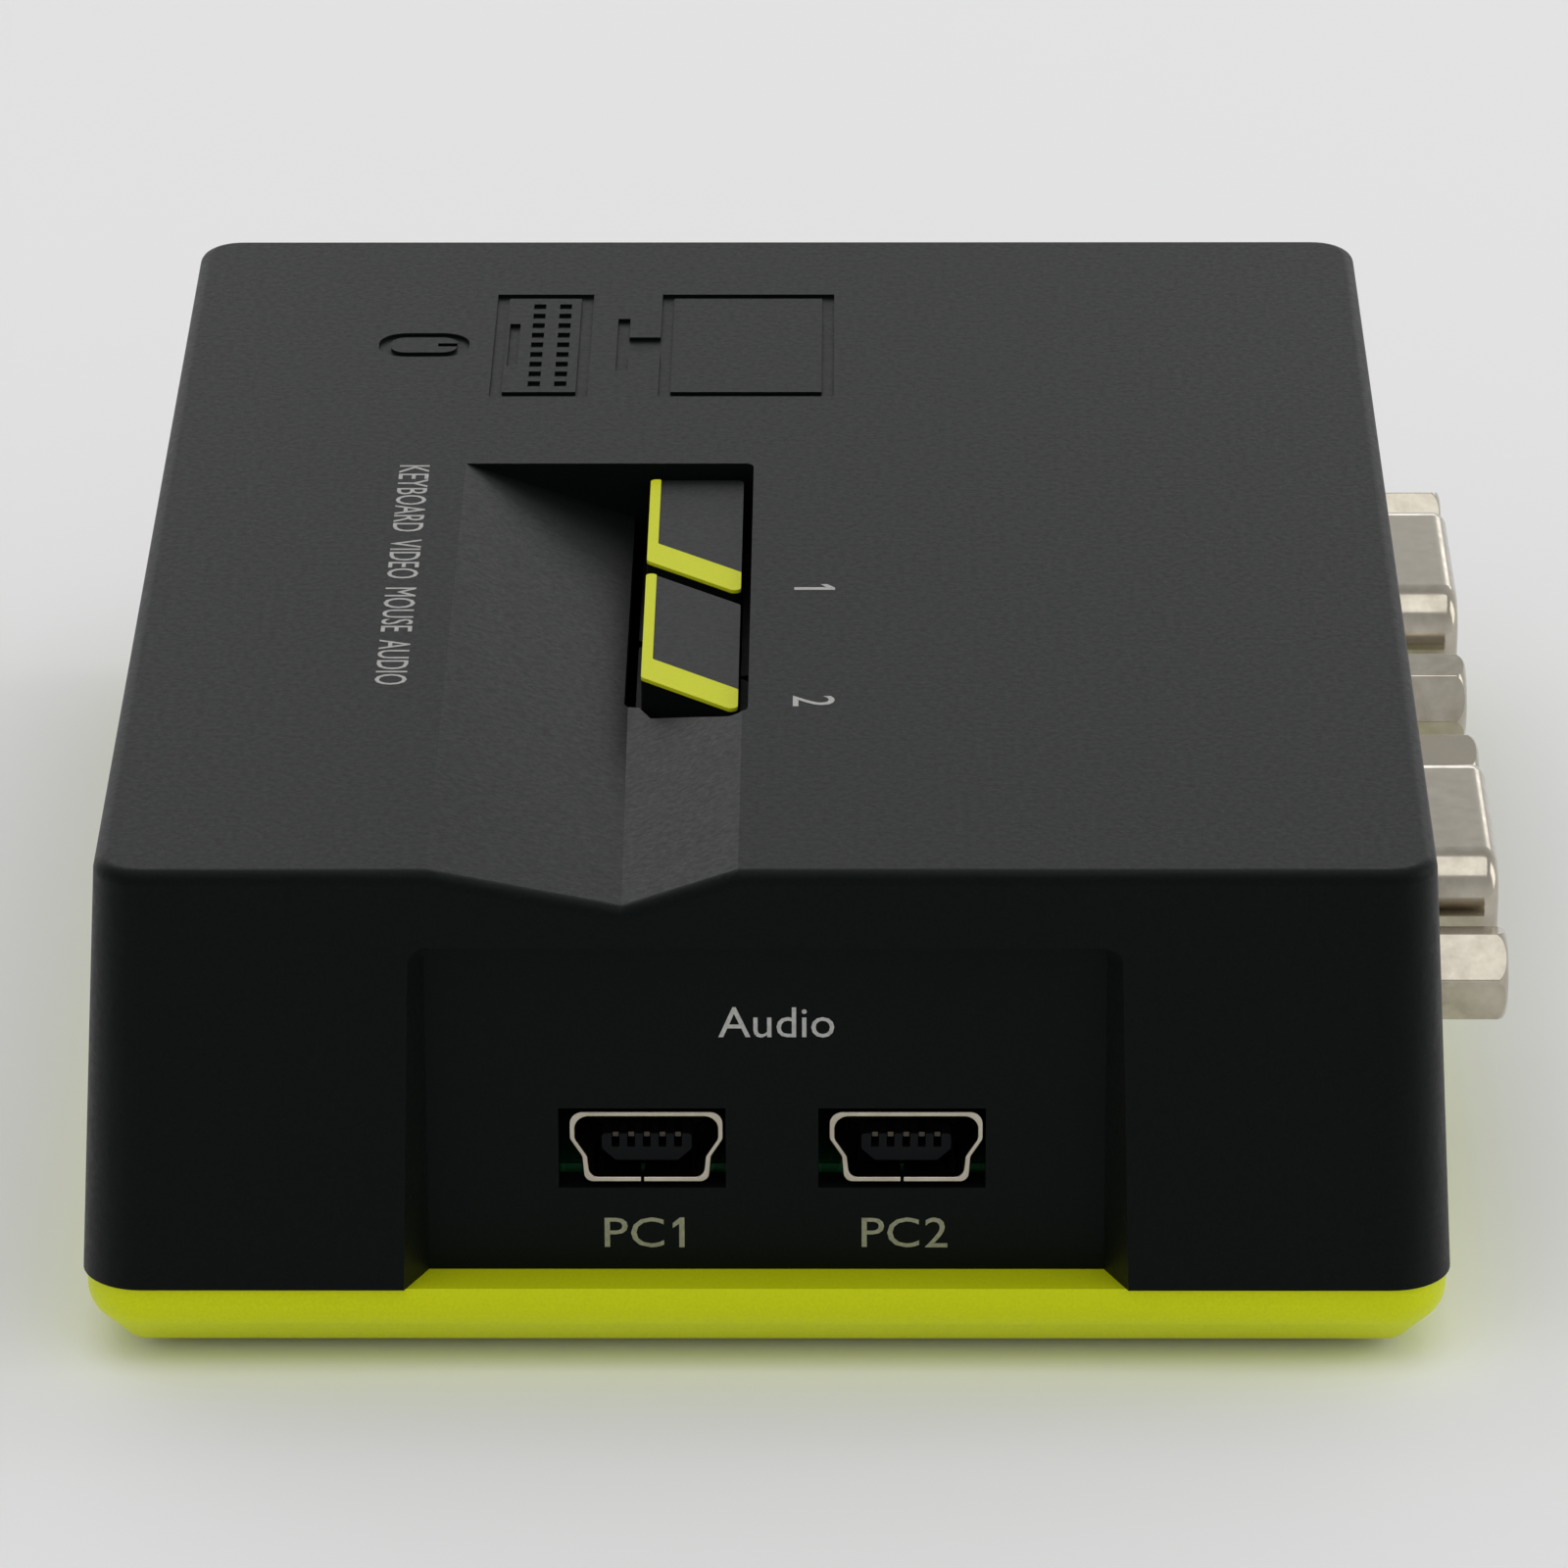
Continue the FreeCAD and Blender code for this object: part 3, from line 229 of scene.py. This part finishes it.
def lime_base():
    shader = moulded_plastic("lime_base", (0.62, 0.69, 0.006), (0.68, 0.75, 0.008), 0.42)
    shader.set(Subsurface_Weight=0.15, Subsurface_Radius=(0.8, 0.9, 0.1), Subsurface_Scale=MM,
               Specular_Tint=LIME_SHEEN)
    return shader


def key_black():
    shader = moulded_plastic("key_black", *CHARCOAL, 0.42, FINE_GRAIN, 0.003 * MM)
    shader.set(Specular_Tint=FACING_SHEEN)
    return shader


def lime_guide():
    shader = moulded_plastic("lime_guide", (0.60, 0.64, 0.010), (0.64, 0.68, 0.014), 0.45,
                             FINE_GRAIN, 0.002 * MM)
    shader.set(Subsurface_Weight=0.2, Subsurface_Radius=(1.0, 1.1, 0.15),
               Subsurface_Scale=0.4 * MM, Specular_IOR_Level=0.2)
    return shader


def foot_rubber():
    return moulded_plastic("foot_rubber", (0.012, 0.012, 0.013), (0.022, 0.022, 0.023), 0.75,
                           0.25 * MM, 0.012 * MM)


def metal(name, colour, dull, rough):
    """Plated or rolled metal with faint blotches and fine scratches."""
    shader = Shader(name)
    blotches = shader.noise(BLOTCH_SIZE, detail=3.0, rough=0.6)
    scratches = shader.noise(SCRATCH_WIDTH, place=shader.stretched(y=SCRATCH_STRETCH))
    shader.colour(shader.blend(blotches, dull, colour))
    shader.roughness(shader.span(blotches, rough + BLOTCH_ROUGHER, rough - BLOTCH_SMOOTHER))
    shader.relief((scratches, SCRATCH_DEPTH))
    shader.set(Metallic=1.0)
    return shader


def nickel_plate():
    return metal("nickel_plate", (0.55, 0.51, 0.43), (0.43, 0.39, 0.32), 0.15)


def screw_steel():
    return metal("screw_steel", (0.16, 0.16, 0.17), (0.10, 0.10, 0.11), 0.34)


def tin_plate():
    return metal("tin_plate", (0.62, 0.63, 0.64), (0.48, 0.49, 0.50), 0.30)


def contact_gold():
    return metal("contact_gold", (0.80, 0.56, 0.22), (0.68, 0.46, 0.17), 0.24)


def board_green():
    """Solder mask over faint copper tracks."""
    shader = Shader("board_green")
    tracks = shader.node("ShaderNodeTexBrick", Scale=1.0 / TRACK_CELL)
    tracks.inputs["Mortar Size"].default_value = TRACK_WIDTH
    for name, colour in TRACK_COLOURS:
        tracks.inputs[name].default_value = colour
    shader.link(shader.place, tracks.inputs["Vector"])
    shader.colour(tracks.outputs["Color"])
    shader.roughness(shader.span(shader.noise(MASK_BLOTCH), 0.25, 0.4))
    shader.relief((tracks.outputs["Fac"], TRACK_HEIGHT))
    return shader


def chip_black():
    return moulded_plastic("chip_black", (0.016, 0.016, 0.017), (0.026, 0.026, 0.028), 0.6)


def capacitor_sleeve():
    return moulded_plastic("capacitor_sleeve", (0.02, 0.025, 0.06), (0.03, 0.035, 0.08), 0.35)


def chip_ceramic():
    return moulded_plastic("chip_ceramic", (0.20, 0.15, 0.10), (0.30, 0.23, 0.16), 0.55)


def socket_black():
    shader = moulded_plastic("socket_black", (0.005, 0.005, 0.006), (0.008, 0.008, 0.009), 0.45,
                             SOCKET_GRAIN, SOCKET_DEPTH)
    shader.set(Specular_Tint=FACING_SHEEN)
    return shader


def socket_blue():
    return moulded_plastic("socket_blue", (0.012, 0.075, 0.30), (0.016, 0.090, 0.35), 0.4,
                           SOCKET_GRAIN, SOCKET_DEPTH)


def led_lens():
    shader = moulded_plastic("led_lens", (0.75, 0.80, 0.70), (0.80, 0.85, 0.75), 0.2)
    shader.set(Transmission_Weight=0.6, IOR=1.5)
    return shader


def jack_green():
    return moulded_plastic("jack_green", (0.10, 0.42, 0.08), (0.13, 0.48, 0.10), 0.4)


def jack_pink():
    return moulded_plastic("jack_pink", (0.62, 0.14, 0.24), (0.68, 0.17, 0.28), 0.4)


FINISHES = {maker.__name__: maker for maker in (
    charcoal_shell, lime_base, key_black, lime_guide, foot_rubber, screw_steel, board_green,
    chip_black, tin_plate, capacitor_sleeve, chip_ceramic, nickel_plate, socket_black,
    socket_blue, contact_gold, led_lens, jack_green, jack_pink)}


def paint(piece, material):
    piece.data.materials.clear()
    piece.data.materials.append(material)


def shade_darkened_contacts():
    """The mini sockets' contacts, duller and much darker than the others: painted shade for their
    place deep inside the sockets.
    """
    return metal("shade_darkened_contacts", (0.09, 0.08, 0.06), (0.05, 0.045, 0.04), 0.4).material


def dress_cad_nodes():
    """Every CAD node comes with a plain material named after its slot; its finish replaces it."""
    made = {slot: maker().material for slot, maker in FINISHES.items()}
    for piece in nodes.values():
        paint(piece, made[piece.data.materials[0].name])
    # The mini sockets' contacts get a near-black metal as painted shade, for their place deep
    # inside the sockets.
    shade_darkened = shade_darkened_contacts()
    for number in (1, 2):
        paint(nodes[f"computer_{number}_audio_contacts"], shade_darkened)


# ---------------------------------------------------------------- printing

def print_ink(name, thin, full):
    """Matt ink, worn a little thin in places."""
    return moulded_plastic(name, thin, full, INK_ROUGHNESS, INK_GRAIN).material


def words_mesh(name, words):
    curve = bpy.data.curves.new(name, "FONT")
    curve.body = words
    curve.resolution_u = LETTER_CURVE_STEPS
    curve.extrude = LETTER_DEPTH
    draft = bpy.data.objects.new(f"{name}_draft", curve)
    bpy.context.scene.collection.objects.link(draft)
    bpy.context.view_layer.update()
    mesh = bpy.data.meshes.new_from_object(draft)
    bpy.data.objects.remove(draft)
    return mesh


def figure_one_mesh(name):
    count = len(FIGURE_ONE)
    foot = list(range(count))
    top = [count + i for i in foot]
    sides = [(i, (i + 1) % count, count + (i + 1) % count, count + i) for i in foot]
    mesh = bpy.data.meshes.new(name)
    mesh.from_pydata([(x, y, z) for z in (0, 1) for x, y in FIGURE_ONE], [],
                     [foot[::-1], top] + sides)
    return mesh


def printed_line(name, words, start, along, tops, length, height, ink):
    """A line of raised print. start is the middle of its left end on the case's surface, and along
    and tops are unit vectors."""
    mesh = figure_one_mesh(name) if words == "1" else words_mesh(name, words)
    low = Vector([min(vertex.co[axis] for vertex in mesh.vertices) for axis in range(3)])
    high = Vector([max(vertex.co[axis] for vertex in mesh.vertices) for axis in range(3)])
    size = high - low
    out = along.cross(tops)
    columns = (along * (length / size.x), tops * (height / size.y),
               out * (PRINT_THICKNESS / size.z))
    turn = Matrix(columns).transposed().to_4x4()
    left_foot = Vector((low.x, (low.y + high.y) / 2, low.z))
    mesh.transform(Matrix.Translation(start) @ turn @ Matrix.Translation(-left_foot))
    piece = bpy.data.objects.new(name, mesh)
    bpy.context.scene.collection.objects.link(piece)
    paint(piece, ink)
    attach(piece, "case")


def printing():
    ink = print_ink("print_ink", *LID_INK)
    socket_ink = print_ink("socket_print_ink", *SOCKET_INK)
    for number, (words, left, right, level, height) in enumerate(LID_PRINT, 1):
        start = LID_CENTRE + Vector((level, left, 0)) * MM
        printed_line(f"lid_print_{number}", words, start, Vector((0, -1, 0)), Vector((1, 0, 0)),
                     (left - right) * MM, height * MM, ink)
    for number, (words, left, right, level, height) in enumerate(PANEL_PRINT, 1):
        start = LID_CENTRE + Vector((left, PANEL_Y, level)) * MM
        printed_line(f"panel_print_{number}", words, start, Vector((1, 0, 0)), Vector((0, 0, 1)),
                     (right - left) * MM, height * MM, ink if words == "Audio" else socket_ink)


# ---------------------------------------------------------------- stage

def floor():
    mesh = bpy.data.meshes.new("floor")
    reach = FLOOR_REACH
    mesh.from_pydata([(-reach, -reach, 0), (reach, -reach, 0), (reach, reach, 0),
                      (-reach, reach, 0)], [], [(0, 1, 2, 3)])
    plane = bpy.data.objects.new("floor", mesh)
    bpy.context.scene.collection.objects.link(plane)
    shader = Shader("floor")
    shader.set(Base_Color=FLOOR_COLOUR, Roughness=0.9, Specular_IOR_Level=0.0)
    paint(plane, shader.material)


def area_light(name, place, width, height, power):
    """A soft box that faces the object."""
    lamp = bpy.data.lights.new(name, "AREA")
    lamp.shape = "RECTANGLE"
    lamp.size = width
    lamp.size_y = height
    lamp.energy = power
    lamp_object = bpy.data.objects.new(name, lamp)
    lamp_object.location = place
    facing = LID_CENTRE - Vector(place)
    lamp_object.rotation_euler = facing.to_track_quat("-Z", "Y").to_euler()
    bpy.context.scene.collection.objects.link(lamp_object)


def lights():
    """Soft boxes, in a white tent that is a little brighter low down."""
    for box in SOFT_BOXES:
        area_light(*box)

    world = bpy.data.worlds.new("studio")
    world.use_nodes = True
    tree = world.node_tree
    direction = tree.nodes.new("ShaderNodeTexCoord").outputs["Generated"]
    split = tree.nodes.new("ShaderNodeSeparateXYZ")
    tree.links.new(direction, split.inputs["Vector"])
    ramp = tree.nodes.new("ShaderNodeMapRange")
    for name, number in (("From Min", 0.0), ("From Max", TENT_SPAN),
                         ("To Min", TENT_HORIZON), ("To Max", TENT_OVERHEAD)):
        ramp.inputs[name].default_value = number
    tree.links.new(split.outputs["Z"], ramp.inputs["Value"])
    background = tree.nodes["Background"]
    background.inputs["Color"].default_value = (1, 1, 1, 1)
    tree.links.new(ramp.outputs["Result"], background.inputs["Strength"])
    bpy.context.scene.world = world


def camera():
    elevation, yaw, roll = CAMERA_ELEVATION, CAMERA_YAW, CAMERA_ROLL
    forward = Vector((math.sin(yaw) * math.cos(elevation), math.cos(yaw) * math.cos(elevation),
                      -math.sin(elevation)))
    level = Vector((math.cos(yaw), -math.sin(yaw), 0))
    upright = level.cross(forward)
    right = math.cos(roll) * level + math.sin(roll) * upright
    up = -math.sin(roll) * level + math.cos(roll) * upright
    data = bpy.data.cameras.new("camera")
    data.lens = CAMERA_LENS
    camera_object = bpy.data.objects.new("camera", data)
    turn = Matrix((right, up, -forward)).transposed().to_4x4()
    camera_object.matrix_world = Matrix.Translation(CAMERA_PLACE) @ turn
    bpy.context.scene.collection.objects.link(camera_object)
    bpy.context.scene.camera = camera_object


dress_cad_nodes()
printing()
floor()
lights()
camera()
bpy.context.scene.view_settings.view_transform = "Standard"
